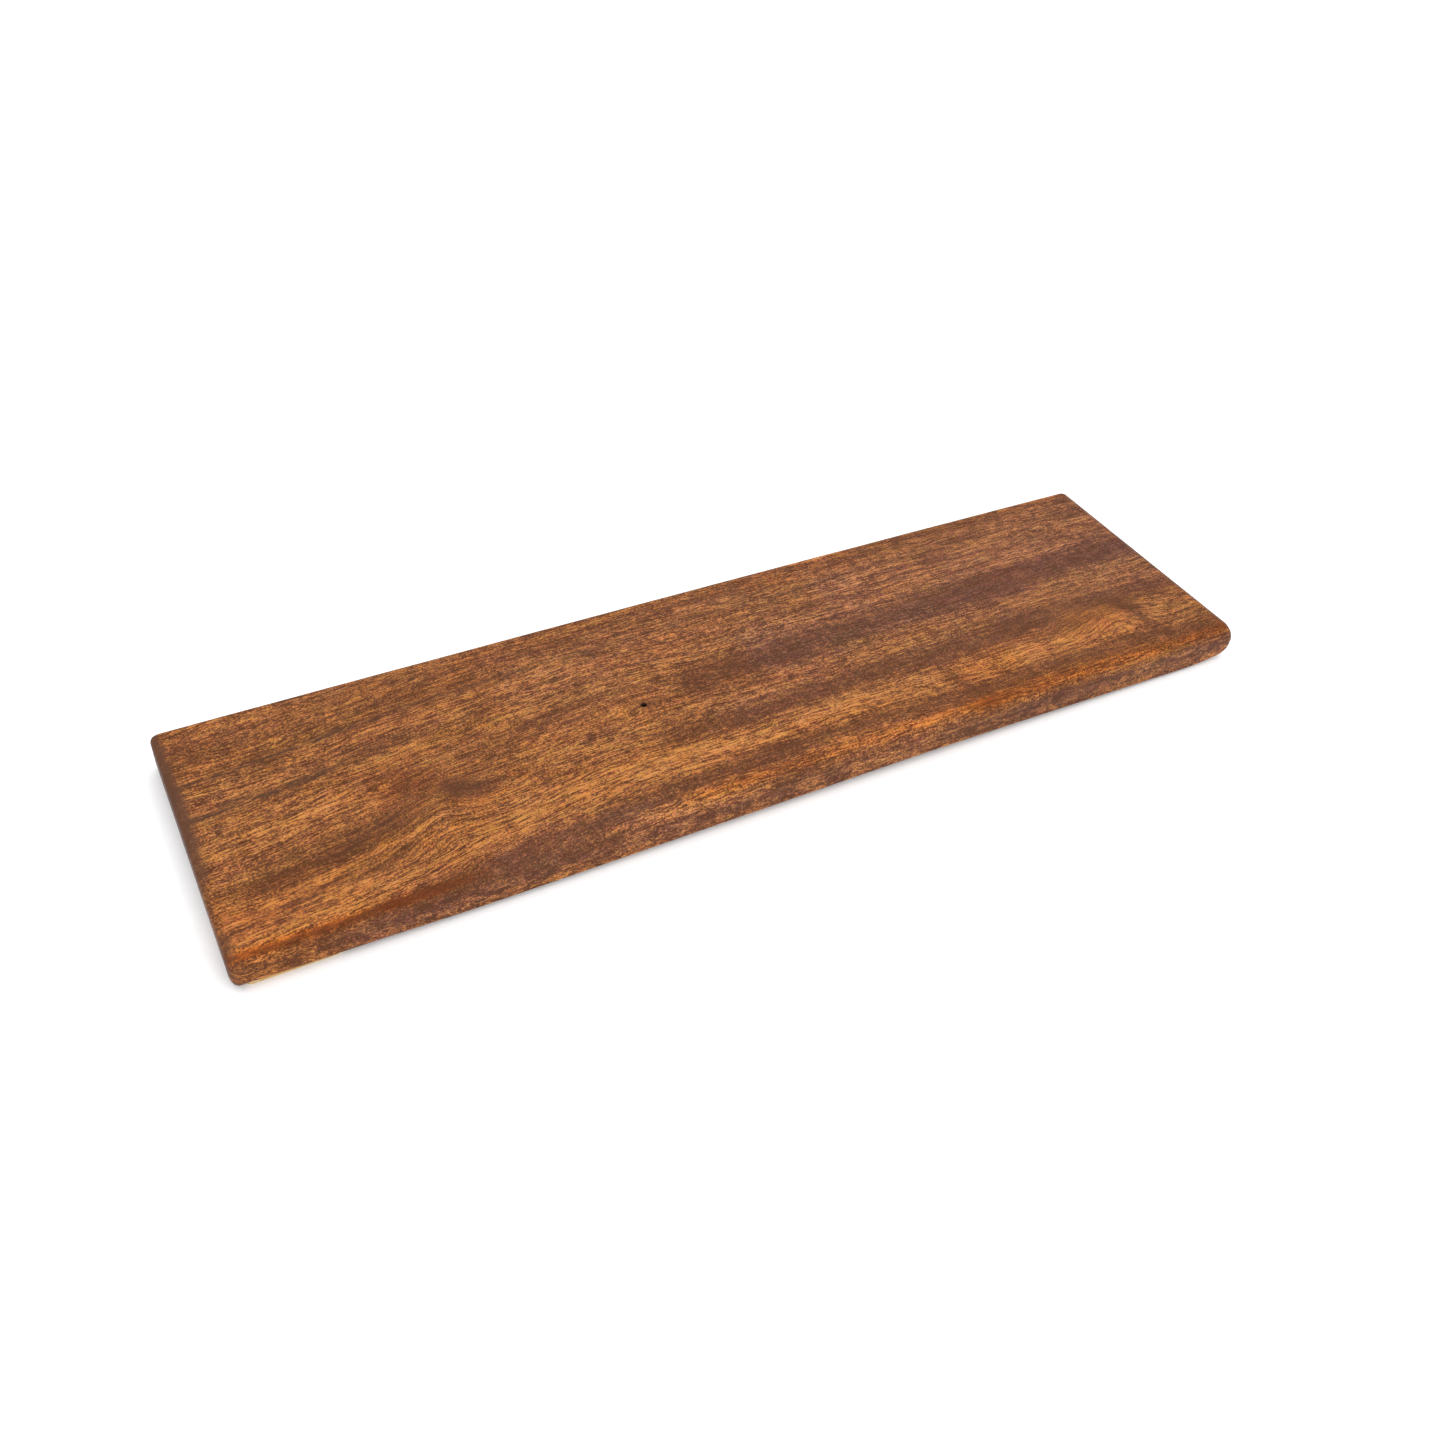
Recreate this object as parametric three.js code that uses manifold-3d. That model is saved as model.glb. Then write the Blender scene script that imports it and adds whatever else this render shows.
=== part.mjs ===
// Wooden keyboard wrist rest: a low hardwood board on four self-adhesive anti-slip pads.
// Millimetres. +X runs along the board to the user's right, -Y is the wrist side and +Z is up.
// The origin is on the desk, under the middle of the board.

import * as THREE from 'three';
import { mergeVertices } from 'three/addons/utils/BufferGeometryUtils.js';
import Module from 'manifold-3d';

const wasm = await Module();
wasm.setup();

// ---- Driving dimensions ----

const boardLength = 300;
const boardDepth = 82;
const boardThickness = 10.5;

const wristEdgeRadius = 4; // generous round-over where the wrists rest
const keyboardEdgeRadius = 1; // barely eased, so that the board meets the keyboard
const leftEndRadius = 3; // the ends are rounded over by hand, the right one more than the left
const rightEndRadius = 5;
const undersideEdgeRadius = 1.2; // sanded easing along both long bottom edges
const undersideLeftRadius = 2; // sanded easing along the bottom of each end
const undersideRightRadius = 4;
const planCornerRadius = 2.8; // upright corners, seen from above

const padLength = 22.5;
const padDepth = 10;
const padThickness = 0.9;
const padCornerRadius = 1.5;
const adhesiveThickness = 0.15;

// The pads are set by hand, so each has its own distance from the board's end and long edge.
const pads = [
  { name: 'front_left', endInset: 3.0, edgeInset: 1.6 },
  { name: 'front_right', endInset: 3.6, edgeInset: 2.8 },
  { name: 'back_left', endInset: 3.3, edgeInset: 3.0 },
  { name: 'back_right', endInset: 3.0, edgeInset: 3.4 },
];

const boardArcSteps = 12; // straight steps in each of the board's quarter-round edges
const padArcSteps = 6; // straight steps in each of a pad's rounded corners
const overrun = 5; // how far a cutting solid runs past the piece it shapes

const undersideHeight = padThickness + adhesiveThickness;

// ---- Materials ----

const woodMaterial = new THREE.MeshStandardMaterial({ color: 0x8f5a38, roughness: 0.45, metalness: 0 });
const padMaterial = new THREE.MeshStandardMaterial({ color: 0xd9bd83, roughness: 0.6, metalness: 0 });
const adhesiveMaterial = new THREE.MeshStandardMaterial({
  color: 0xe6e2d6,
  roughness: 0.35,
  metalness: 0,
});

// ---- Shapes ----

// A rectangle from (x0, y0) to (x1, y1) with its own radius at each corner.
function roundedRectangle(x0, y0, x1, y1, radii) {
  const { lowerLeft, lowerRight, upperRight, upperLeft } = radii;
  const quarter = Math.PI / 2;
  const shape = new THREE.Shape();
  shape.moveTo(x0 + lowerLeft, y0);
  shape.lineTo(x1 - lowerRight, y0);
  shape.absarc(x1 - lowerRight, y0 + lowerRight, lowerRight, -quarter, 0, false);
  shape.lineTo(x1, y1 - upperRight);
  shape.absarc(x1 - upperRight, y1 - upperRight, upperRight, 0, quarter, false);
  shape.lineTo(x0 + upperLeft, y1);
  shape.absarc(x0 + upperLeft, y1 - upperLeft, upperLeft, quarter, 2 * quarter, false);
  shape.lineTo(x0, y0 + lowerLeft);
  shape.absarc(x0 + lowerLeft, y0 + lowerLeft, lowerLeft, 2 * quarter, 3 * quarter, false);
  return shape;
}

function sameRadii(radius) {
  return { lowerLeft: radius, lowerRight: radius, upperRight: radius, upperLeft: radius };
}

// An extrusion of the given length, centred on the shape's plane. ExtrudeGeometry steps along an
// arc twice for each curve segment that it is given.
function centredExtrusion(shape, length, arcSteps) {
  const geometry = new THREE.ExtrudeGeometry(shape, {
    depth: length,
    bevelEnabled: false,
    curveSegments: arcSteps / 2,
  });
  return geometry.translate(0, 0, -length / 2);
}

// Turns a geometry so that its own X, Y and Z point along the three given directions.
function turned(geometry, x, y, z) {
  return geometry.applyMatrix4(new THREE.Matrix4().makeBasis(x, y, z));
}

// ---- Closed solids for joining and cutting ----

function solidFrom(geometry) {
  const bare = geometry.clone();
  bare.deleteAttribute('normal');
  bare.deleteAttribute('uv');
  const merged = mergeVertices(bare);
  return new wasm.Manifold(
    new wasm.Mesh({
      numProp: 3,
      vertProperties: new Float32Array(merged.attributes.position.array),
      triVerts: new Uint32Array(merged.index.array),
    }),
  );
}

function geometryFrom(solid) {
  const mesh = solid.getMesh();
  const geometry = new THREE.BufferGeometry();
  geometry.setAttribute('position', new THREE.BufferAttribute(mesh.vertProperties, 3));
  geometry.setIndex(new THREE.BufferAttribute(mesh.triVerts, 1));
  const faceted = geometry.toNonIndexed();
  faceted.computeVertexNormals();
  return faceted;
}

// ---- Board ----

// The board is what three extrusions share: its cross-section run along the length, its end
// profile run across the depth, and its plan run through the thickness.
function boardGeometry() {
  const alongX = new THREE.Vector3(1, 0, 0);
  const alongY = new THREE.Vector3(0, 1, 0);
  const alongZ = new THREE.Vector3(0, 0, 1);
  const halfLength = boardLength / 2;
  const halfDepth = boardDepth / 2;

  const crossSection = roundedRectangle(-halfDepth, 0, halfDepth, boardThickness, {
    lowerLeft: undersideEdgeRadius,
    lowerRight: undersideEdgeRadius,
    upperRight: keyboardEdgeRadius,
    upperLeft: wristEdgeRadius,
  });
  const endProfile = roundedRectangle(-halfLength, 0, halfLength, boardThickness, {
    lowerLeft: undersideLeftRadius,
    lowerRight: undersideRightRadius,
    upperRight: rightEndRadius,
    upperLeft: leftEndRadius,
  });
  const plan = roundedRectangle(
    -halfLength,
    -halfDepth,
    halfLength,
    halfDepth,
    sameRadii(planCornerRadius),
  );

  const lengthwise = turned(
    centredExtrusion(crossSection, boardLength + 2 * overrun, boardArcSteps),
    alongY,
    alongZ,
    alongX,
  );
  const crosswise = turned(
    centredExtrusion(endProfile, boardDepth + 2 * overrun, boardArcSteps),
    alongX,
    alongZ,
    alongY.clone().negate(),
  );
  const upright = centredExtrusion(plan, boardThickness + 2 * overrun, boardArcSteps);
  upright.translate(0, 0, boardThickness / 2);

  const board = solidFrom(lengthwise).intersect(solidFrom(crosswise)).intersect(solidFrom(upright));
  return geometryFrom(board);
}

function board() {
  const mesh = new THREE.Mesh(boardGeometry(), woodMaterial);
  mesh.name = 'wooden_board';
  mesh.position.z = undersideHeight;
  return mesh;
}

// ---- Pads and their adhesive ----

function padLayer(name, thickness, height, material) {
  const outline = roundedRectangle(
    -padLength / 2,
    -padDepth / 2,
    padLength / 2,
    padDepth / 2,
    sameRadii(padCornerRadius),
  );
  const mesh = new THREE.Mesh(centredExtrusion(outline, thickness, padArcSteps), material);
  mesh.name = name;
  mesh.position.z = height + thickness / 2;
  return mesh;
}

function adhesivePad({ name, endInset, edgeInset }) {
  const towardsEnd = name.endsWith('right') ? 1 : -1;
  const towardsEdge = name.startsWith('back') ? 1 : -1;
  const pad = new THREE.Group();
  pad.position.x = towardsEnd * (boardLength / 2 - endInset - padLength / 2);
  pad.position.y = towardsEdge * (boardDepth / 2 - edgeInset - padDepth / 2);
  pad.add(padLayer(`${name}_pad`, padThickness, 0, padMaterial));
  pad.add(padLayer(`${name}_adhesive`, adhesiveThickness, padThickness, adhesiveMaterial));
  return pad;
}

// ---- Assembly ----

const wristRest = new THREE.Group();
wristRest.name = 'wrist_rest';
wristRest.add(board());
for (const pad of pads) {
  wristRest.add(adhesivePad(pad));
}

export default wristRest;
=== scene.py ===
"""The looks of a wooden keyboard wrist rest: a ribbon-striped hardwood board on four anti-slip pads.

Shapes are worked out in millimetres in the CAD's frame, with +X along the board, -Y towards the
wrists and +Z up from the desk. They become metres where a mesh is made.
"""

import math

import bpy
import numpy as np
from mathutils import Matrix, Vector


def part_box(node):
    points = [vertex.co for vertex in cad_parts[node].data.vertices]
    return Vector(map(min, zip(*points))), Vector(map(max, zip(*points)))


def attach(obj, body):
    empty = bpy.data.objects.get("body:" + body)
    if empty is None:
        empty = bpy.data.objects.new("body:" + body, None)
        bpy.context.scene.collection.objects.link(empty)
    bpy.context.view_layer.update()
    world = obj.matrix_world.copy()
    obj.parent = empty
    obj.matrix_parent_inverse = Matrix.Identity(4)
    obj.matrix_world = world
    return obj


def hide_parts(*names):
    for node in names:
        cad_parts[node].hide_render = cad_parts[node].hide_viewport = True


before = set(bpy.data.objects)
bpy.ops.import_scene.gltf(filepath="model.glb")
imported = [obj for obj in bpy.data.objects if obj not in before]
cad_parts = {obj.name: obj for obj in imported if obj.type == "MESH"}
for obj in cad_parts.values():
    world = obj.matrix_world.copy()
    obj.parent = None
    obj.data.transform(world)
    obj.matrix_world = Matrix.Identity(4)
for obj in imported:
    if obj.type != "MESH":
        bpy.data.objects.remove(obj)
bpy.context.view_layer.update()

MM = 0.001

# ---- The frame, in millimetres ----

board_low, board_high = (np.array(corner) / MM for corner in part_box("wooden_board"))
HALF_LENGTH, HALF_DEPTH = (board_high - board_low)[:2] / 2
UNDERSIDE = board_low[2]
TOP = board_high[2]

# ---- Driving dimensions, in millimetres ----

WRIST_EDGE = 4.0
KEYBOARD_EDGE = 1.0
UNDERSIDE_BACK_EDGE = 1.0
# How far the rounding of an end runs along the board, and how far it drops.
LEFT_END = (3.2, 1.6)
RIGHT_END = (4.4, 4.2)
LEFT_END_UNDER = (1.8, 2.0)
RIGHT_END_UNDER = (5.0, 5.8)
# The radii of the corners seen from above: the left one and the right one.
PLAN_CORNER_FRONT = (1.9, 2.3)
PLAN_CORNER_BACK = (1.3, 2.3)
BOW = 0.54  # how far the middle has lifted
HAND_WAVE = 0.03  # how far hand sanding has left the top from flat
# The hand-sanded easing under the wrist edge: its radius at places along the board.
WRIST_UNDER_EDGE = ((-150, 3.0), (-140, 2.4), (-122, 2.0), (-92, 0.8), (-63, 0.75), (-28, 1.2), (0, 1.5),
                    (37, 1.85), (60, 1.6), (80, 1.2), (100, 0.7), (118, 0.35), (138, 0.4), (150, 2.5))

PIN_KNOT = (-29.2, -0.9)
PIN_KNOT_RADIUS = 0.75
PIN_KNOT_DEPTH = 1.3

# The pads and the film of adhesive over each.
PAD_EDGE = 0.22
PAD_CORNER = 1.5
FILM_EDGE = 0.05
FILM_CORNER = 1.2
FILM_SQUEEZED_OUT = 0.1
# How far from straight each pad was stuck on, in degrees.
PAD_TURNS = {"front_left": 0.5, "front_right": -0.8, "back_left": 1.1, "back_right": -0.4}
FILM_TURN_SHARE = 0.4


# ---- Small curves ----

def smoothstep(low, high, x):
    t = np.clip((x - low) / (high - low), 0, 1)
    return t * t * (3 - 2 * t)


def eased_drop(distance, run, drop):
    """How far a quarter-ellipse edge has dropped at a distance in from its end plane."""
    u = np.clip(1 - distance / run, 0, 1)
    return drop * (1 - math.sqrt(1 - u * u))


def through(points, x):
    """A smooth curve through (x, value) points."""
    xs = np.array([p[0] for p in points], float)
    values = np.array([p[1] for p in points], float)
    slopes = np.gradient(values, xs)
    x = np.clip(x, xs[0], xs[-1])
    i = np.clip(np.searchsorted(xs, x) - 1, 0, len(xs) - 2)
    span = xs[i + 1] - xs[i]
    t = (x - xs[i]) / span
    return ((2 * t**3 - 3 * t**2 + 1) * values[i] + (t**3 - 2 * t**2 + t) * span * slopes[i]
            + (3 * t**2 - 2 * t**3) * values[i + 1] + (t**3 - t**2) * span * slopes[i + 1])


WAVE_COUNT = 7
WAVE_SHORTENING = 0.75
WAVE_WEAKENING = 0.8
WAVE_SPREAD = 2.5  # brings the sum of the waves back to about 1


def waves(x, y, seed, longest):
    """A smooth random surface between about -1 and 1, of waves each shorter and weaker than the last."""
    rng = np.random.default_rng(seed)
    total = np.zeros(np.broadcast(x, y).shape)
    for i in range(WAVE_COUNT):
        length = longest * WAVE_SHORTENING**i
        angle = rng.uniform(0, math.tau)
        phase = rng.uniform(0, math.tau)
        travelled = x * math.cos(angle) + y * math.sin(angle)
        total += np.sin(math.tau * travelled / length + phase) * WAVE_WEAKENING**i
    return total / WAVE_SPREAD


def board_lift(x):
    """The bow, measured from the pads, where the board keeps its height."""
    pad_low, pad_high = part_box("front_left_pad")
    pad_middle = (pad_low.x + pad_high.x) / 2 / MM
    return BOW * (pad_middle**2 - x**2) / HALF_LENGTH**2


# ---- Meshes swept along the length ----

ARC_STEPS = 14
SIDE_STEPS = 3
CAP_ROWS = 6
END_STEPS = 20
EDGE_ROOM = 0.96  # the share of the slab's height that its two edge radii may take up together


def slab_section(x, shape):
    """The closed (y, z) section at x: from the middle of the front side, up over the top to the middle
    of the back side, and back underneath. The front is the wrist side."""
    from_left = x - shape["x"][0]
    from_right = shape["x"][1] - x
    from_end = min(from_left, from_right)
    top = shape["top"](x)
    top -= eased_drop(from_left, *shape["left_top"]) + eased_drop(from_right, *shape["right_top"])
    bottom = shape["bottom"](x)
    bottom += eased_drop(from_left, *shape["left_bottom"]) + eased_drop(from_right, *shape["right_bottom"])
    middle = (top + bottom) / 2
    side = 0 if from_left < from_right else 1
    front_corner = shape["plan_front"][side]
    back_corner = shape["plan_back"][side]
    front = shape["y"][0] + eased_drop(from_end, front_corner, front_corner)
    back = shape["y"][1] - eased_drop(from_end, back_corner, back_corner)
    # Near a rounded end the slab is too thin for the full edge radii.
    room = EDGE_ROOM * (top - bottom)
    front_under = shape["front_bottom"](x)
    front_fit = min(1, room / (shape["front_top"] + front_under))
    back_fit = min(1, room / (shape["back_top"] + shape["back_bottom"]))

    def arc(y, z, radius, start, end):
        angles = np.linspace(start, end, ARC_STEPS + 1)
        return np.stack([y + radius * np.cos(angles), z + radius * np.sin(angles)], 1)

    def line(start, end, fractions):
        return np.asarray(start) + (np.asarray(end) - np.asarray(start)) * np.asarray(fractions)[:, None]

    def half_section(radius_front, radius_back, level, sign):
        """From front middle to back middle: the upper half with sign 1, the lower half with sign -1."""
        quarter = sign * math.pi / 2
        front_arc = arc(front + radius_front, level - sign * radius_front, radius_front,
                        math.pi, math.pi - quarter)
        back_arc = arc(back - radius_back, level - sign * radius_back, radius_back, quarter, 0)
        steps = np.linspace(0, 1, SIDE_STEPS + 1)[:-1]
        return np.concatenate([
            line((front, middle), front_arc[0], steps),
            front_arc,
            line(front_arc[-1], back_arc[0], shape["across"][1:-1]),
            back_arc,
            line(back_arc[-1], (back, middle), 1 - steps[::-1]),
        ])

    upper = half_section(front_fit * shape["front_top"], back_fit * shape["back_top"], top, 1)
    lower = half_section(front_fit * front_under, back_fit * shape["back_bottom"], bottom, -1)
    return np.concatenate([upper, lower[-2:0:-1]])


def sweep(shape):
    """Vertices and faces of a closed slab: sections joined along its length, and a grid at each end."""
    stations = shape["stations"]
    rings = [slab_section(x, shape) for x in stations]
    count = len(rings[0])
    half = count // 2
    points = [np.column_stack([np.full(count, x), ring]) for x, ring in zip(stations, rings)]
    vertices = np.concatenate(points)
    faces = []
    for i in range(len(rings) - 1):
        for j in range(count):
            k = (j + 1) % count
            faces.append((i * count + j, (i + 1) * count + j, (i + 1) * count + k, i * count + k))
    # The rows of an end's grid run from the upper half of its ring to the lower half.
    for ring_start, flip in ((0, True), ((len(rings) - 1) * count, False)):
        end = vertices[ring_start:ring_start + count]
        rows = [[ring_start + j for j in range(half + 1)]]
        for row in range(1, CAP_ROWS):
            inner = [ring_start]
            for j in range(1, half):
                inner.append(len(vertices))
                point = end[j] + (end[count - j] - end[j]) * row / CAP_ROWS
                vertices = np.vstack([vertices, point])
            rows.append(inner + [ring_start + half])
        rows.append([ring_start] + [ring_start + count - j for j in range(1, half)] + [ring_start + half])
        for above, below in zip(rows, rows[1:]):
            for j in range(half):
                corners = (above[j], above[j + 1], below[j + 1], below[j])
                face = list(dict.fromkeys(corners))
                faces.append(tuple(reversed(face)) if flip else tuple(face))
    return vertices, faces


def mesh_object(name, vertices, faces, material):
    """A smooth-shaded object from vertices in millimetres."""
    mesh = bpy.data.meshes.new(name)
    mesh.from_pydata((vertices * MM).tolist(), [], faces)
    mesh.update()
    mesh.polygons.foreach_set("use_smooth", [True] * len(mesh.polygons))
    mesh.materials.append(material)
    piece = bpy.data.objects.new(name, mesh)
    bpy.context.scene.collection.objects.link(piece)
    return piece


def add_attribute(piece, name, kind, values):
    """Stores one value or vector at each vertex, for a material to read."""
    attribute = piece.data.attributes.new(name, kind, "POINT")
    field = "vector" if kind == "FLOAT_VECTOR" else "value"
    attribute.data.foreach_set(field, np.asarray(values, np.float32).ravel())


def end_spacing(run, steps):
    """Distances from an end plane, close together where the end is rounded over."""
    return run * (1 - np.cos(np.linspace(0, math.pi / 2, steps + 1)))


def with_detail(places, centre, reach, step):
    """The same places with fine extra ones around a centre."""
    extra = np.arange(centre - reach, centre + reach, step)
    kept = places[np.abs(places - centre) > reach + step / 2]
    return np.sort(np.concatenate([kept, extra]))


# ---- The wood's figure, in millimetres on the top face ----
#
# The wrist side continues the top: a place on it counts as lying beyond the edge by its depth below
# the top. So the stripes run through the board in planes that slope at 45 degrees.
#
# Every stroke is (points along its middle, half width, strength).

# Stripes, dark below zero and golden above.
STRIPES = (
    # broad dark ribbon through the right half
    (((-12, 3), (20, 4), (60, 6.5), (100, 7), (150, 8)), 5.5, -1.0),
    (((-60, 5), (-30, 5), (0, 4)), 3.0, -0.35),
    # second dark ribbon, in front of it
    (((-30, -16), (0, -16), (30, -15), (60, -16), (95, -14)), 3.3, -1.15),
    (((88, -12.5), (105, -11.5), (120, -13), (150, -14)), 2.6, -0.8),
    # golden ribbon along the wrist side
    (((-152, -40), (-125, -36), (-100, -32), (-75, -27), (-45, -24), (-20, -24.5)), 4.2, 1.0),
    (((-50, -24.5), (0, -24.5), (30, -24), (52, -25)), 3.6, 0.85),
    (((60, -26), (75, -25), (100, -25.5), (122, -25)), 4.0, 0.8),
    # a dark bar across it, and its weaker right end
    (((53, -20), (57.5, -31)), 3.2, -0.9),
    (((126, -26), (150, -28)), 3.5, 0.35),
    # dark ribbon between it and the wrist edge
    (((-100, -39.5), (-80, -38), (-55, -36), (-30, -33.5), (0, -32.5)), 3.0, -0.85),
    (((-10, -32.5), (25, -32.5), (58, -33)), 3.2, -0.75),
    (((60, -34), (85, -33), (110, -33), (130, -35), (150, -37)), 2.8, -0.85),
    # golden wrist edge, but for its right part
    (((-46, -39.5), (-25, -38.5), (10, -37.5), (45, -38)), 2.0, 0.5),
    (((52, -38.5), (70, -38.5), (95, -38.5), (120, -39.5)), 2.2, -0.1),
    # a stain round the pin knot
    (((-34, -1.1), (-29, -0.9), (-24, -0.7)), 0.9, -0.6),
    # dark patch at the left, and the golden and dark streaks round it
    (((-138, -21.5), (-128, -20), (-112, -17.5), (-98, -13.5)), 4.8, -0.8),
    (((-152, -31), (-130, -26.5), (-110, -23), (-92, -19)), 1.8, 0.6),
    (((-150, -8), (-130, -6.5), (-112, -4), (-100, -2.5)), 3.2, 0.45),
    (((-108, 1), (-93, 0)), 1.6, -0.8),
    (((-102, -4.5), (-91, -5)), 2.2, -0.9),
    (((-66, 3), (-58, 3.5)), 2.0, -0.5),
    (((-100, -19), (-90, -20)), 1.8, 0.5),
    (((-87, -10.5), (-78, -13)), 2.6, -1.5),
    # darker wood beside the thin line
    (((-100, 24), (-80, 25.5), (-60, 26)), 2.2, -0.35),
    # darker wood beside the dashes
    (((-110, 13.5), (-90, 12), (-75, 12.5)), 2.0, -0.3),
    # light streaks behind them
    (((-140, 15), (-120, 16.5), (-100, 18.5), (-78, 20)), 2.4, 0.35),
    (((-115, 5.5), (-95, 8), (-70, 9), (-48, 10)), 1.2, 0.4),
    (((-78, 21.5), (-50, 22)), 0.9, 0.4),
    (((-45, 12), (-20, 12.5), (5, 12)), 1.4, 0.35),
    (((32, 14.5), (60, 14.5), (90, 14), (125, 15)), 1.6, 0.55),
    (((60, 18.5), (85, 18.5), (110, 18.5)), 1.2, 0.3),
    (((30, 23.5), (55, 24)), 2.6, 0.3),
    # darker ribbons towards the keyboard edge
    (((-60, 34), (-20, 35), (20, 35.5), (55, 36)), 2.4, -0.5),
    (((60, 37.5), (100, 37.5), (150, 38)), 2.4, -0.35),
    (((-20, 19.5), (10, 20.5), (40, 19)), 2.6, -0.3),
    (((60, 23.5), (85, 22.5), (115, 22), (150, 23)), 2.2, -0.15),
    # soft patches at the left and a light streak at the right end
    (((-150, 0), (-125, 3), (-100, 6)), 7.0, 0.18),
    (((-145, 32), (-60, 33)), 6.0, -0.26),
    (((120, 26.5), (150, 26)), 1.6, 0.25),
    # light band between the two dark ribbons, with a darker patch behind its left end
    (((-60, -9), (-20, -9.5), (15, -8.5)), 2.6, 0.2),
    (((-85, 0), (-40, 2)), 5.0, -0.18),
    (((10, -5), (50, -6), (90, -5.5), (140, -4)), 3.0, 0.12),
    (((130, -1), (146, 0)), 1.2, 0.4),
    # the curl at the right: an orange patch with a dark line curving round it
    (((104, -19), (119, -19.5)), 3.2, 0.12),
    (((119.5, -12), (126.5, -23)), 3.6, -1.3),
    (((122.5, -24), (128.5, -34)), 3.4, -1.0),
    # the wrist side and its rounded edge
    (((-105, -43), (-70, -42.5)), 1.8, -0.4),
    (((-152, -41.0), (-125, -40.8), (-105, -40.5)), 1.1, -0.65),
    (((-152, -40.8), (-138, -40.8)), 1.2, -0.3),
    (((-112, -40.8), (-70, -40.8)), 1.6, -0.95),
    (((-155, -46), (-140, -45), (-128, -45)), 3.6, -0.05),
    (((-155, -46), (-60, -46), (60, -46), (155, -46)), 4.5, -0.5),
    (((-126, -46), (-108, -45.5), (-95, -43.5)), 2.2, -0.35),
    (((-92, -42), (-72, -42.5), (-60, -44)), 3.0, -0.75),
    (((-48, -42.5), (-30, -42), (-12, -42)), 1.4, 0.8),
    (((-60, -48), (-40, -46.5)), 1.8, 0.25),
    (((-12, -46), (-2, -42)), 2.0, -0.45),
    (((12, -47.5), (30, -46.5)), 1.6, 0.35),
    (((50, -48), (60, -44)), 2.4, -0.6),
    (((62, -45), (76, -43.5)), 2.0, 0.35),
    (((74, -49), (86, -43)), 2.2, -0.65),
    (((60, -47), (110, -46)), 3.4, -0.3),
    (((88, -48), (106, -46)), 2.4, -0.35),
    (((112, -46.5), (124, -48)), 1.8, 0.45),
    (((122, -49), (138, -42)), 2.6, -0.3),
)

# Thin dark lines.
DARK_LINES = (
    # from the left end to the right
    (((-152, 17.5), (-130, 19.5), (-105, 22.5)), 0.6, 1.0),
    (((-112, 21.8), (-80, 25), (-50, 26)), 0.9, 0.6),
    (((-40, 26.5), (0, 27.5), (40, 28.5), (80, 29.5), (150, 31)), 0.6, 0.6),
    # dashes at the left
    (((-147, 5.5), (-135, 6.5), (-122, 8), (-108, 10)), 1.0, 0.95),
    (((-142, 7.5), (-130, 9)), 0.7, 0.6),
    (((-104, 13.5), (-92, 14.5)), 0.7, 0.5),
    # beside the curl at the left
    (((-88, -9.5), (-78, -12)), 2.2, 0.5),
    (((-116, -18), (-99, -13.5)), 2.2, 0.35),
    # along the wrist edge
    (((-104, -40.5), (-70, -40.5)), 1.6, 0.22),
)

# Where the colour is a deeper orange, and below zero where it is cooler.
WARM_PATCHES = (
    (((-152, -40.6), (-125, -40.6), (-95, -40.5)), 1.6, 1.4),
    (((-110, -40.5), (-90, -40.5)), 1.6, 0.5),
    (((-30, -38.5), (20, -38), (60, -38.5)), 2.0, 0.6),
    (((56, -39), (85, -38.5), (120, -39.5)), 3.0, 1.0),
    (((125, -39.5), (150, -39.5)), 2.4, 0.9),
    (((56, -27), (75, -26)), 5.0, 0.4),
    (((104, -20), (122, -20)), 5.0, 0.4),
    (((-150, -30), (-120, -28), (-80, -26)), 10.0, 0.3),
    (((-104, -3), (-92, -3)), 5.0, 0.4),
    (((10, 6), (150, 8)), 9.0, -1.0),
    (((40, 25), (150, 26)), 11.0, -0.65),
    (((-60, 22), (30, 24)), 12.0, -0.4),
    (((-85, -38), (-45, -37)), 3.5, -0.6),
    (((-10, -12), (150, -8)), 7.0, -0.4),
    (((-120, -46), (-60, -46), (60, -46), (150, -46)), 4.2, -0.65),
)

# Where the fibres show less, and below zero where they show more.
CALM_PATCHES = (
    (((100, -20), (124, -20)), 6.0, 0.3),
    (((-152, -32), (-125, -29), (-100, -26)), 5.0, 0.25),
    (((80, 5), (155, 5)), 40.0, 0.13),
    (((-60, 0), (0, 0)), 14.0, -0.1),
)

STROKE_FADE = 9.0  # how far a stroke fades out beyond its ends
STROKE_SOFTNESS = 3.5  # the power in a stroke's profile: the higher, the harder its sides


def painted(strokes, x, y):
    """The sum of soft strokes at places on the top face."""
    total = np.zeros(len(x))
    for points, half_width, strength in strokes:
        start, end = points[0][0], points[-1][0]
        fade = min(STROKE_FADE, (end - start) / 2)
        begun = smoothstep(start - fade, start + fade / 2, x)
        over = smoothstep(end - fade / 2, end + fade, x)
        across = 1 / (1 + np.abs((y - through(points, x)) / half_width) ** STROKE_SOFTNESS)
        total += strength * begun * (1 - over) * across
    return total


# Places where the grain swells round a knot: centre, how far it is pushed aside, and its reach.
CURLS = (
    ((-92, -16), 4.5, (8, 8)),
    ((117, -21), 4.5, (12, 7)),
    ((-29.2, -1.2), 1.4, (4, 2.2)),
    ((60, -42), 4.0, (14, 4)),
)
CURL_LEAN = 0.35  # how far a swelling leans along the board

# How far the grain, the stripes and the thin lines waver.
SLOW_WAVER = 0.6
QUICK_WAVER = 0.25
STRIPE_WAVER = 0.5
LINE_WAVER = 0.3

# Towards the left end the grain bends towards the wrists, and less so near the keyboard edge.
BEND_FROM = -20
BEND_TO = -165
BEND_AT_MIDDLE = 13.0
BEND_LESS_TOWARDS_KEYBOARD = 0.12


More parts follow.
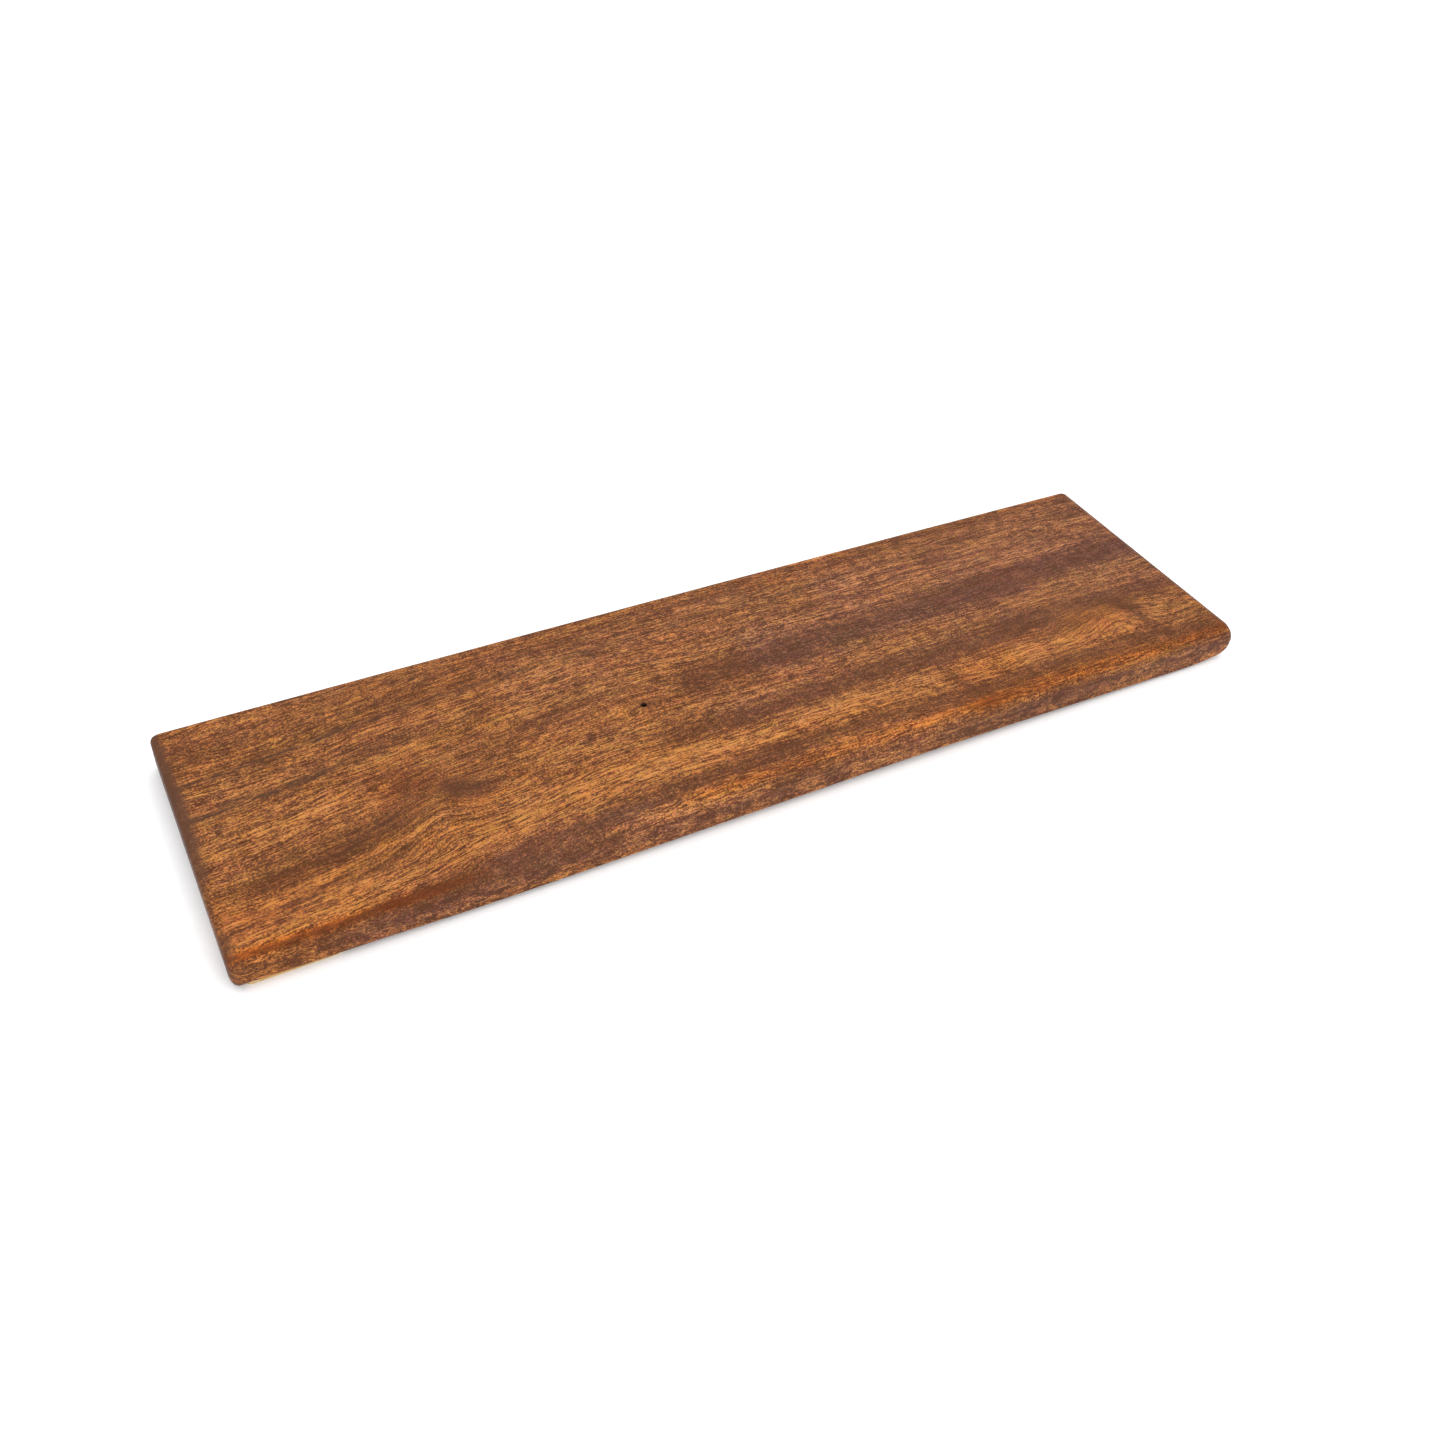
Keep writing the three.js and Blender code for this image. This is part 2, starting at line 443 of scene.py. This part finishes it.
def grain_shift(x, y):
    """How far the grain is pushed towards the keyboard side at a place on the top face."""
    shift = smoothstep(BEND_FROM, BEND_TO, x) * (BEND_LESS_TOWARDS_KEYBOARD * y - BEND_AT_MIDDLE)
    for (cx, cy), push, (reach_x, reach_y) in CURLS:
        lean = (x - cx) - CURL_LEAN * (y - cy)
        shift += push * np.exp(-((lean / reach_x) ** 2) - ((y - cy) / reach_y) ** 2)
    # The wavering is drawn out along the board.
    slow = waves(x / 9, y / 5, seed=11, longest=7.0)
    quick = waves(x / 2.5, y / 2, seed=12, longest=7.0)
    return shift + SLOW_WAVER * slow + QUICK_WAVER * quick


# The dark band at the left end, partly end grain and partly painted shade of the rounded end, at places
# from the wrist side to the keyboard side: how wide it is next to its full width, and how dark. It is weak
# where golden streaks run out at the end.
LEFT_BAND_WIDTH = ((-41, 0.9), (-38, 1.1), (-34, 1.05), (-29, 0.6), (-20, 0.6), (-13, 1.0), (41, 1.0))
LEFT_BAND_SHARE = ((-41, 0.42), (-38.5, 0.85), (-34, 0.8), (-29, 0.42), (-20, 0.4), (-12, 0.85),
                   (-4, 1.0), (41, 1.0))
LEFT_BAND_FULL = 1.3  # how far from the end plane the full-width band stays at its darkest
LEFT_BAND_OUT = 3.1  # where it has faded out
LEFT_BAND_RAGGED = 0.5  # how far its side is from straight
RIGHT_END_SHARE = 0.7


def end_grain_and_shade_share(x, y, normal_x):
    """How much a place is darkened, as end grain and further as painted shade of the rounded ends."""
    ragged = x + HALF_LENGTH + LEFT_BAND_RAGGED * waves(x, y, seed=21, longest=9.0)
    width = through(LEFT_BAND_WIDTH, y)
    left_band = 1 - smoothstep(LEFT_BAND_FULL * width, LEFT_BAND_OUT * width, ragged)
    turned = smoothstep(0.1, 0.5, np.abs(normal_x))
    left = np.maximum(turned, left_band) * through(LEFT_BAND_SHARE, y)
    return np.where(x < 0, left, turned * RIGHT_END_SHARE)


CURLY_ON_TOP = 0.15  # how curly the top's fibres are next to the wrist side's


def from_knot(x, y):
    """The distance from the pin knot's middle, in its radii."""
    return np.hypot(x - PIN_KNOT[0], y - PIN_KNOT[1]) / PIN_KNOT_RADIUS


def figure_attributes(piece, vertices):
    """Stores at each vertex what the wood material reads."""
    x, y, z = vertices.T
    depth = np.clip(TOP + board_lift(x) - z, 0, None)
    unrolled = y - depth
    normals = np.zeros(len(vertices) * 3, np.float32)
    piece.data.vertices.foreach_get("normal", normals)
    to_right, to_back, to_top = normals.reshape(-1, 3).T

    stripe_place = unrolled + STRIPE_WAVER * waves(x, unrolled, seed=3, longest=14.0)
    line_place = unrolled + LINE_WAVER * waves(x, unrolled, seed=4, longest=12.0)
    figure = painted(STRIPES, x, stripe_place)
    ink = painted(DARK_LINES, x, line_place)
    warmth = painted(WARM_PATCHES, x, unrolled)
    # The knot's black reaches a little past its pit, and stays in the upper part of the board.
    in_knot = (1 - smoothstep(0.75, 1.6, from_knot(x, y))) * smoothstep(UNDERSIDE + 5, TOP - 2, z)
    # Every side below the rounded edges is curly, except the keyboard side.
    below_edges = smoothstep(2.0, 5.0, depth) * (1 - smoothstep(0.3, 0.8, to_back))

    add_attribute(piece, "grain", "FLOAT_VECTOR", np.column_stack([x, y - grain_shift(x, unrolled), z]))
    fields = {
        "figure": np.clip(figure, -1.2, 1.2),
        "warmth": np.clip(warmth, -1, 1.5),
        "ink": np.clip(ink, 0, 1),
        "lively": 1 - painted(CALM_PATCHES, x, unrolled),
        # darker as end grain and as painted shade of the rounded ends
        "end_grain_and_shade": end_grain_and_shade_share(x, y, to_right),
        # the keyboard edge's rim, painted paler as a highlight
        "edge": smoothstep(0.15, 0.6, to_back) * smoothstep(0.15, 0.6, to_top),
        "underside": smoothstep(0.4, 0.9, -to_top),
        "knot": in_knot,
        "curly": CURLY_ON_TOP + (1 - CURLY_ON_TOP) * below_edges,
    }
    for name, values in fields.items():
        add_attribute(piece, name, "FLOAT", values)


# ---- Node helpers ----

class Shader:
    """Builds one material's nodes. Sockets are linked, and plain numbers are set on the sockets."""

    def __init__(self, name):
        self.material = bpy.data.materials.new(name)
        self.material.use_nodes = True
        self.tree = self.material.node_tree
        self.tree.nodes.clear()
        self.output = self.tree.nodes.new("ShaderNodeOutputMaterial")
        self.surface = self.tree.nodes.new("ShaderNodeBsdfPrincipled")
        self.tree.links.new(self.surface.outputs["BSDF"], self.output.inputs["Surface"])

    def put(self, socket, value):
        """Links a socket to another, or sets it."""
        if isinstance(value, bpy.types.NodeSocket):
            self.tree.links.new(value, socket)
        else:
            socket.default_value = value

    def attribute(self, name):
        node = self.tree.nodes.new("ShaderNodeAttribute")
        node.attribute_name = name
        return node

    def value(self, name):
        return self.attribute(name).outputs["Fac"]

    def object_place(self):
        """Places in the object's own frame, in metres."""
        return self.tree.nodes.new("ShaderNodeTexCoord").outputs["Object"]

    def math(self, operation, a, b):
        node = self.tree.nodes.new("ShaderNodeMath")
        node.operation = operation
        for socket, value in zip(node.inputs, (a, b)):
            self.put(socket, value)
        return node.outputs["Value"]

    def add(self, *terms):
        total = terms[0]
        for term in terms[1:]:
            total = self.math("ADD", total, term)
        return total

    def times(self, *factors):
        product = factors[0]
        for factor in factors[1:]:
            product = self.math("MULTIPLY", product, factor)
        return product

    def vector_math(self, operation, vector, socket, other):
        """The result of an operation on a vector and on what goes into the other socket."""
        node = self.tree.nodes.new("ShaderNodeVectorMath")
        node.operation = operation
        self.put(node.inputs[0], vector)
        self.put(node.inputs[socket], other)
        return node.outputs["Vector"]

    def stretched(self, vector, factors):
        return self.vector_math("MULTIPLY", vector, 1, factors)

    def moved(self, vector, by):
        return self.vector_math("ADD", vector, 1, by)

    def scaled(self, vector, factor):
        return self.vector_math("SCALE", vector, "Scale", factor)

    def noise(self, vector, factors, detail, roughness, output="Fac"):
        """Noise between 0 and 1. The factors are how many of its cells go into one unit each way."""
        node = self.tree.nodes.new("ShaderNodeTexNoise")
        node.noise_dimensions = "3D"
        self.put(node.inputs["Vector"], self.stretched(vector, factors))
        node.inputs["Scale"].default_value = 1.0
        node.inputs["Detail"].default_value = detail
        node.inputs["Roughness"].default_value = roughness
        return node.outputs[output]

    def centred_noise(self, vector, factors, detail):
        """Noise about 0."""
        return self.math("SUBTRACT", self.noise(vector, factors, detail, 0.6), 0.5)

    def centred_colour_noise(self, vector, factors):
        return self.moved(self.noise(vector, factors, 2.0, 0.5, "Color"), (-0.5, -0.5, -0.5))

    def tinted(self, colour, vector, factors, amount):
        """The colour with each channel varied a little, green least, in patches of the noise's size."""
        shares = tuple(share * amount for share in TINT_SHARES)
        noise = self.stretched(self.centred_colour_noise(vector, factors), shares)
        return self.multiplied(colour, self.moved(noise, (1.0, 1.0, 1.0)))

    def span(self, value, low, high, to_low=0.0, to_high=1.0, smooth=False):
        """The value, held between low and high, as its share of the way from to_low to to_high."""
        node = self.tree.nodes.new("ShaderNodeMapRange")
        node.interpolation_type = "SMOOTHSTEP" if smooth else "LINEAR"
        node.clamp = True
        self.put(node.inputs["Value"], value)
        node.inputs["From Min"].default_value = low
        node.inputs["From Max"].default_value = high
        node.inputs["To Min"].default_value = to_low
        node.inputs["To Max"].default_value = to_high
        return node.outputs["Result"]

    def ramp(self, value, stops):
        """The colour at a value, from (place, colour) stops."""
        node = self.tree.nodes.new("ShaderNodeValToRGB")
        self.put(node.inputs["Fac"], value)
        elements = node.color_ramp.elements
        while len(elements) < len(stops):
            elements.new(0.5)
        for element, (place, colour) in zip(elements, stops):
            element.position = place
            element.color = (*colour, 1.0)
        return node.outputs["Color"]

    def mix(self, factor, a, b, blend="MIX"):
        """Colour a with a share of colour b blended in."""
        node = self.tree.nodes.new("ShaderNodeMix")
        node.data_type = "RGBA"
        node.blend_type = blend
        self.put(node.inputs[0], factor)
        # The colour sockets of a Mix node are inputs 6 and 7 and output 2.
        for socket, value in zip((node.inputs[6], node.inputs[7]), (a, b)):
            self.put(socket, value if isinstance(value, bpy.types.NodeSocket) else (*value, 1.0))
        return node.outputs[2]

    def multiplied(self, colour, by):
        return self.mix(1.0, colour, by, "MULTIPLY")

    def bump(self, height, distance, strength):
        """The normal over a relief whose full height is the distance, in metres."""
        node = self.tree.nodes.new("ShaderNodeBump")
        node.inputs["Strength"].default_value = strength
        node.inputs["Distance"].default_value = distance
        self.put(node.inputs["Height"], height)
        return node.outputs["Normal"]

    def set(self, **sockets):
        """Sets or links inputs of the surface, named with _ for a space."""
        for name, value in sockets.items():
            self.put(self.surface.inputs[name.replace("_", " ")], value)


# ---- Materials, with linear colours ----

TINT_SHARES = (1.1, 0.6, 2.2)  # of red, green and blue

# From the darkest ribbons to the most golden.
WOOD_TONES = (
    (0.0, (0.080, 0.026, 0.009)),
    (0.154, (0.119, 0.044, 0.0185)),
    (0.346, (0.176, 0.062, 0.0225)),
    (0.538, (0.278, 0.100, 0.028)),
    (0.77, (0.400, 0.154, 0.040)),
    (1.0, (0.475, 0.198, 0.055)),
)
# What the wood's colour is multiplied by where it is warmer, where it is warmest and where it is cooler.
WARM = (1.03, 0.8, 0.5)
DEEP = (1.04, 0.92, 0.7)
COOL = (0.96, 1.04, 1.5)
# What end grain is multiplied by, darkening it also as painted shade of the rounded ends.
END_GRAIN_AND_SHADE_TINT = (0.58, 0.6, 0.8)

DARK_OIL = (0.062, 0.028, 0.016)
# End grain, darkened further as painted shade of the rounded ends.
END_GRAIN_AND_PAINTED_SHADE = (0.099, 0.0425, 0.0235)
# A paler rim, painted along the keyboard edge as a highlight.
PAINTED_EDGE_HIGHLIGHT = (0.30, 0.16, 0.085)
DULL_UNDERSIDE = (0.2, 0.09, 0.045)
KNOT_BLACK = (0.006, 0.004, 0.003)
DUST = (0.855, 0.791, 0.672)

RAMP_SHARE = 0.77  # where on the ramp a tone of 1 lies
FIBRE_RELIEF = 0.00005  # in metres, as the two below
PEEL_RELIEF = 0.00004
BUBBLE_RELIEF = 0.00003


def wood_material():
    """The board's wood. The noises are laid out in millimetres and mostly drawn out along the fibres,
    and each is moved by its own offset so that no two repeat each other."""
    s = Shader("oiled_ribbon_hardwood")
    grain = s.attribute("grain").outputs["Vector"]
    figure = s.value("figure")
    warmth = s.value("warmth")
    underside = s.value("underside")
    curly = s.value("curly")

    # The fibres wander a little, so that no streak is ruled straight, and more where the grain is curly.
    slow_wander = s.stretched(s.centred_colour_noise(grain, (0.05, 0.2, 0.2)), (0.0, 1.5, 1.5))
    curly_wander = s.stretched(s.centred_colour_noise(grain, (0.16, 0.3, 0.3)), (0.0, 5.0, 5.0))
    fibre_place = s.moved(s.moved(grain, slow_wander), s.scaled(curly_wander, curly))

    # Uneven tone, from the broadest to the finest.
    broad = s.centred_noise(fibre_place, (0.016, 0.14, 0.14), 2.0)
    torn = s.centred_noise(s.moved(fibre_place, (19, 37, 11)), (0.035, 0.6, 0.6), 3.0)
    streak = s.centred_noise(fibre_place, (0.045, 0.5, 0.5), 3.0)
    curl = s.centred_noise(s.moved(fibre_place, (13, 29, 17)), (0.12, 0.5, 0.5), 3.0)
    ripple = s.centred_noise(s.moved(grain, (5, 40, 8)), (0.24, 0.08, 0.08), 2.0)
    tooth = s.centred_noise(s.moved(grain, (9, 4, 27)), (0.6, 0.2, 0.2), 2.0)
    blotch = s.centred_noise(s.moved(fibre_place, (31, 7, 3)), (0.5, 0.9, 0.9), 3.0)
    line = s.centred_noise(s.moved(fibre_place, (23, 19, 2)), (0.06, 1.35, 1.35), 2.0)
    fibre = s.centred_noise(s.moved(fibre_place, (3, 13, 5)), (0.22, 2.7, 2.7), 2.0)
    speckle = s.centred_noise(grain, (1.8, 2.8, 2.8), 2.0)

    # Spots with clearer outlines.
    patch_noise = s.noise(s.moved(fibre_place, (17, 3, 21)), (0.26, 0.5, 0.5), 3.0, 0.6)
    patch = s.span(patch_noise, 0.42, 0.58, -0.5, 0.5, smooth=True)
    glint_noise = s.noise(s.moved(fibre_place, (41, 2, 15)), (0.09, 1.5, 1.5), 1.0, 0.5)
    glint = s.span(glint_noise, 0.54, 0.68, smooth=True)
    pore_noise = s.noise(s.moved(fibre_place, (11, 5, 9)), (0.08, 2.1, 2.1), 1.0, 0.5)
    pore = s.span(pore_noise, 0.58, 0.66, smooth=True)
    broken_noise = s.noise(s.moved(fibre_place, (29, 5, 37)), (0.3, 1.2, 1.2), 2.0, 0.6)
    broken = s.span(broken_noise, 0.42, 0.56, 0.35, 0.95)

    # Tone, from 0 for the darkest wood to 1 for the most golden. The stripes have torn sides. Fibres
    # show less in dark ribbons and least in the deepest orange.
    lightness = s.span(s.add(figure, s.times(torn, 1.4)), -1.0, 1.0)
    liveliness = s.times(
        s.span(lightness, 0.0, 0.5, 0.75, 1.0),
        s.span(warmth, 1.0, 1.4, 1.0, 0.35),
        s.value("lively"),
    )
    fibrous = s.span(lightness, 0.0, 0.8, 0.45, 1.0)
    fine = s.add(
        s.times(streak, 0.5),
        s.times(ripple, 0.45),
        s.times(tooth, 0.6),
        s.times(patch, 0.09),
        s.times(blotch, 0.45),
        s.times(line, fibrous, 1.8),
        s.times(fibre, fibrous, 3.2),
        s.times(speckle, 3.1),
    )
    tone = s.add(
        0.135,
        s.times(lightness, 0.62),
        s.times(curl, curly, 2.3),
        s.times(broad, 0.5),
        s.times(fine, liveliness),
        s.times(pore, fibrous, -0.22),
        s.times(glint, fibrous, 0.2),
    )
    colour = s.ramp(s.times(tone, RAMP_SHARE), WOOD_TONES)
    for low, high, tint in ((0.0, 1.0, WARM), (0.0, -1.0, COOL), (1.0, 1.4, DEEP)):
        colour = s.mix(s.span(warmth, low, high), colour, s.multiplied(colour, tint))

    # The oil has taken unevenly, so that neighbouring fibres lean to red or to yellow.
    colour = s.tinted(colour, s.moved(fibre_place, (2, 51, 6)), (0.02, 0.1, 0.1), 0.18)
    colour = s.tinted(colour, s.moved(fibre_place, (61, 8, 4)), (0.2, 0.4, 0.4), 0.22)
    colour = s.tinted(colour, s.moved(grain, (7, 33, 1)), (0.9, 1.5, 1.5), 0.42)

    # Rows of open pores hold dark oil.
    colour = s.mix(s.times(s.value("ink"), broken), colour, DARK_OIL)

    # End grain drinks the oil and darkens, and the rounded ends are darkened further as painted shade.
    # The keyboard edge's rim is painted paler as a highlight.
    dark_ends_and_shade = s.mix(0.8, s.multiplied(colour, END_GRAIN_AND_SHADE_TINT), END_GRAIN_AND_PAINTED_SHADE)
    colour = s.mix(s.times(s.value("end_grain_and_shade"), 0.95), colour, dark_ends_and_shade)
    edge_highlight = s.times(s.value("edge"), s.span(streak, -0.2, 0.1, 0.2, 0.7))
    colour = s.mix(edge_highlight, colour, PAINTED_EDGE_HIGHLIGHT)
    colour = s.mix(s.times(underside, 0.35), colour, DULL_UNDERSIDE)
    colour = s.mix(s.value("knot"), colour, KNOT_BLACK)

    relief = s.add(s.times(fibre, 0.5), s.times(pore, -0.9), s.times(speckle, 0.15))
    normal = s.bump(relief, FIBRE_RELIEF, 0.6)
    roughness = s.add(0.42, s.times(pore, 0.18), s.times(underside, 0.25), s.times(fibre, 0.3))
    s.set(Base_Color=colour, Roughness=roughness, Normal=normal, IOR=1.45, Specular_IOR_Level=0.07)
    return s.material


def pad_material():
    """Translucent honey-coloured rubber: cloudy, with a fine skin and a little dust. It is laid out in
    metres, as the two materials below."""
    s = Shader("honey_anti_slip_rubber")
    place = s.object_place()
    cloud = s.noise(place, (260, 260, 260), 3.0, 0.6)
    peel = s.noise(place, (2600, 2600, 2600), 2.0, 0.5)
    dust = s.span(s.noise(place, (1500, 1500, 1500), 1.0, 0.5), 0.66, 0.74, smooth=True)
    colour = s.ramp(cloud, (
        (0.3, (0.44, 0.27, 0.085)),
        (0.5, (0.52, 0.33, 0.11)),
        (0.7, (0.60, 0.40, 0.15)),
    ))
    colour = s.mix(s.times(dust, 0.5), colour, DUST)
    normal = s.bump(s.add(peel, s.times(cloud, 0.6)), PEEL_RELIEF, 0.7)
    s.set(Base_Color=colour, Roughness=s.span(cloud, 0.3, 0.7, 0.42, 0.6), Normal=normal, IOR=1.45)
    s.set(Subsurface_Weight=0.2, Subsurface_Scale=0.0005, Subsurface_Radius=(1.0, 0.6, 0.25))
    return s.material


def adhesive_material():
    """A milky film with small bubbles in it."""
    s = Shader("milky_adhesive_film")
    bubbles = s.noise(s.object_place(), (900, 900, 900), 2.0, 0.55)
    colour = s.ramp(bubbles, ((0.35, (0.687, 0.617, 0.479)), (0.65, (0.855, 0.823, 0.745))))
    normal = s.bump(bubbles, BUBBLE_RELIEF, 0.6)
    s.set(Base_Color=colour, Roughness=s.span(bubbles, 0.3, 0.7, 0.25, 0.45), Normal=normal, IOR=1.47)
    return s.material


def floor_material():
    """Pale paper with a fine tooth."""
    s = Shader("studio_paper")
    tooth = s.noise(s.object_place(), (400, 400, 400), 2.0, 0.5)
    colour = s.ramp(tooth, ((0.3, (0.895, 0.90, 0.905)), (0.7, (0.915, 0.92, 0.925))))
    s.set(Base_Color=colour, Roughness=0.95, IOR=1.3)
    return s.material


# ---- Pieces ----

# The board's mesh: how far apart its sections are between the rounded ends, and how many places each
# has across the flat of the top. Both are finer round the pin knot.
STATION_STEP = 1.8
FIRST_STEP = 1.0
LEAST_LAST_STEP = 0.7
PLACES_ACROSS = 126
KNOT_REACH = 1.3
KNOT_STEP = 0.13


def board(material):
    """The wooden board, with the figure of its wood stored at the vertices."""
    left = end_spacing(max(LEFT_END[0], PLAN_CORNER_FRONT[0]), END_STEPS)
    right = end_spacing(max(RIGHT_END[0], RIGHT_END_UNDER[0]), END_STEPS)
    first = -HALF_LENGTH + left[-1] + FIRST_STEP
    last = HALF_LENGTH - right[-1] - LEAST_LAST_STEP
    middle = np.arange(first, last, STATION_STEP)
    stations = np.concatenate([left - HALF_LENGTH, middle, HALF_LENGTH - right[::-1]])
    stations = with_detail(stations, PIN_KNOT[0], KNOT_REACH, KNOT_STEP)
    flat = np.linspace(-HALF_DEPTH + WRIST_EDGE, HALF_DEPTH - KEYBOARD_EDGE, PLACES_ACROSS)
    places = with_detail(flat, PIN_KNOT[1], KNOT_REACH, KNOT_STEP)
    across = (places - places[0]) / np.ptp(places)
    shape = {
        "x": (-HALF_LENGTH, HALF_LENGTH),
        "y": (-HALF_DEPTH, HALF_DEPTH),
        "top": lambda x: TOP + board_lift(x),
        "bottom": lambda x: UNDERSIDE + board_lift(x),
        "left_top": LEFT_END,
        "right_top": RIGHT_END,
        "left_bottom": LEFT_END_UNDER,
        "right_bottom": RIGHT_END_UNDER,
        "plan_front": PLAN_CORNER_FRONT,
        "plan_back": PLAN_CORNER_BACK,
        "front_top": WRIST_EDGE,
        "back_top": KEYBOARD_EDGE,
        "front_bottom": lambda x: float(through(WRIST_UNDER_EDGE, x)),
        "back_bottom": UNDERSIDE_BACK_EDGE,
        "stations": stations,
        "across": across,
    }
    vertices, faces = sweep(shape)
    x, y, z = vertices.T
    # The pit and the waves are in the top, and fade out down the rounded edges.
    on_top = smoothstep(TOP - 3, TOP - 0.5, z)
    pit = PIN_KNOT_DEPTH * np.sqrt(np.clip(1 - from_knot(x, y) ** 2, 0, 1))
    vertices[:, 2] += on_top * (HAND_WAVE * waves(x, y, seed=5, longest=60.0) - pit)
    piece = mesh_object("oiled_board", vertices, faces, material)
    figure_attributes(piece, vertices)
    return piece


LAYER_STEP = 0.5
LAYER_END_STEPS = 8
LAYER_PLACES_ACROSS = 20


def layer(name, box, edge, corner, top, bottom, material, turn, grow=0.0):
    """A thin rounded slab in the place of a CAD box, such as a pad or its adhesive."""
    low, high = (np.array(point) / MM for point in box)
    low = low - (grow, grow, 0)
    high = high + (grow, grow, 0)
    ends = end_spacing(corner, LAYER_END_STEPS)
    middle = np.arange(low[0] + corner + LAYER_STEP, high[0] - corner - LAYER_STEP / 2, LAYER_STEP)
    shape = {
        "x": (low[0], high[0]),
        "y": (low[1], high[1]),
        "top": top,
        "bottom": bottom,
        "left_top": (edge, edge),
        "right_top": (edge, edge),
        "left_bottom": (edge, edge),
        "right_bottom": (edge, edge),
        "plan_front": (corner, corner),
        "plan_back": (corner, corner),
        "front_top": edge,
        "back_top": edge,
        "front_bottom": lambda x: edge,
        "back_bottom": edge,
        "stations": np.concatenate([low[0] + ends, middle, high[0] - ends[::-1]]),
        "across": np.linspace(0, 1, LAYER_PLACES_ACROSS),
    }
    vertices, faces = sweep(shape)
    centre = (low + high)[:2] / 2
    spin = np.array([[math.cos(turn), -math.sin(turn)], [math.sin(turn), math.cos(turn)]])
    vertices[:, :2] = centre + (vertices[:, :2] - centre) @ spin.T
    return mesh_object(name, vertices, faces, material)


def pad_with_adhesive(place, turn, rubber, film):
    """A pad on the floor and the adhesive film between it and the board. Both follow the board's bow."""
    pad_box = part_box(f"{place}_pad")
    film_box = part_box(f"{place}_adhesive")
    pad_top = film_box[0].z / MM

    def pad_face(x):
        return pad_top + board_lift(x)

    def under_board(x):
        return UNDERSIDE + board_lift(x)

    def on_floor(x):
        return 0.0

    pad = layer(f"{place}_anti_slip_pad", pad_box, PAD_EDGE, PAD_CORNER, pad_face, on_floor, rubber, turn)
    tape = layer(f"{place}_adhesive_film", film_box, FILM_EDGE, FILM_CORNER, under_board, pad_face, film,
                 turn * FILM_TURN_SHARE, FILM_SQUEEZED_OUT)
    return pad, tape


# ---- Stage ----

# The camera, in millimetres and degrees: how it looks at its target, and from how far.
CAMERA_AZIMUTH = -30.97
CAMERA_ELEVATION = 41.41
CAMERA_ROLL = 4.45
CAMERA_DISTANCE = 395.9
CAMERA_TARGET = (-6.75, -5.4, 1.05)
CAMERA_LENS = 35.32
SENSOR = 36.0

# Each light: the direction it shines from, its strength and how many degrees wide it is.
KEY_LIGHT = ((0.15, 0.05, 1.0), 2.35, 90)
FILL_LIGHT = ((0.15, -0.85, 0.5), 1.75, 60)
SKY_STRENGTH = 0.55
FLOOR_REACH = 3.0  # in metres


def add_camera():
    """A camera without shift or depth of field."""
    azimuth = math.radians(CAMERA_AZIMUTH)
    elevation = math.radians(CAMERA_ELEVATION)
    roll = math.radians(CAMERA_ROLL)
    level = math.cos(elevation)
    back = Vector((math.sin(azimuth) * level, -math.cos(azimuth) * level, math.sin(elevation)))
    right = Vector((0, 0, 1)).cross(back).normalized()
    up = back.cross(right)
    turned_right = right * math.cos(roll) + up * math.sin(roll)
    turned_up = up * math.cos(roll) - right * math.sin(roll)
    data = bpy.data.cameras.new("camera")
    data.lens = CAMERA_LENS
    data.sensor_width = SENSOR
    data.clip_start = 0.01
    camera = bpy.data.objects.new("camera", data)
    rotation = Matrix((turned_right, turned_up, back)).transposed().to_4x4()
    place = (Vector(CAMERA_TARGET) + back * CAMERA_DISTANCE) * MM
    camera.matrix_world = Matrix.Translation(place) @ rotation
    bpy.context.scene.collection.objects.link(camera)
    bpy.context.scene.camera = camera


def add_soft_sun(name, direction, strength, spread):
    """A distant light so wide that its shadows are soft."""
    data = bpy.data.lights.new(name, "SUN")
    data.energy = strength
    data.angle = math.radians(spread)
    light = bpy.data.objects.new(name, data)
    light.rotation_euler = Vector(direction).to_track_quat("Z", "Y").to_euler()
    bpy.context.scene.collection.objects.link(light)


def add_studio():
    """Plain soft light and a pale floor."""
    world = bpy.data.worlds.new("studio")
    world.use_nodes = True
    sky = world.node_tree.nodes["Background"]
    sky.inputs["Color"].default_value = (1.0, 1.0, 1.0, 1.0)
    sky.inputs["Strength"].default_value = SKY_STRENGTH
    bpy.context.scene.world = world
    bpy.context.scene.view_settings.view_transform = "Standard"
    add_soft_sun("overhead_softbox", *KEY_LIGHT)
    add_soft_sun("front_fill", *FILL_LIGHT)
    corners = [(FLOOR_REACH * x, FLOOR_REACH * y, 0) for x, y in ((-1, -1), (1, -1), (1, 1), (-1, 1))]
    mesh = bpy.data.meshes.new("floor")
    mesh.from_pydata(corners, [], [(0, 1, 2, 3)])
    mesh.materials.append(floor_material())
    floor = bpy.data.objects.new("floor", mesh)
    bpy.context.scene.collection.objects.link(floor)


# ---- The scene ----

add_camera()
add_studio()

wooden_board = board(wood_material())
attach(wooden_board, "root")
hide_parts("wooden_board")

rubber = pad_material()
film = adhesive_material()
for place, turn in PAD_TURNS.items():
    pad, tape = pad_with_adhesive(place, math.radians(turn), rubber, film)
    for piece, node, slot in ((pad, f"{place}_pad", "pad"), (tape, f"{place}_adhesive", "adhesive")):
        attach(piece, "root")
        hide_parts(node)
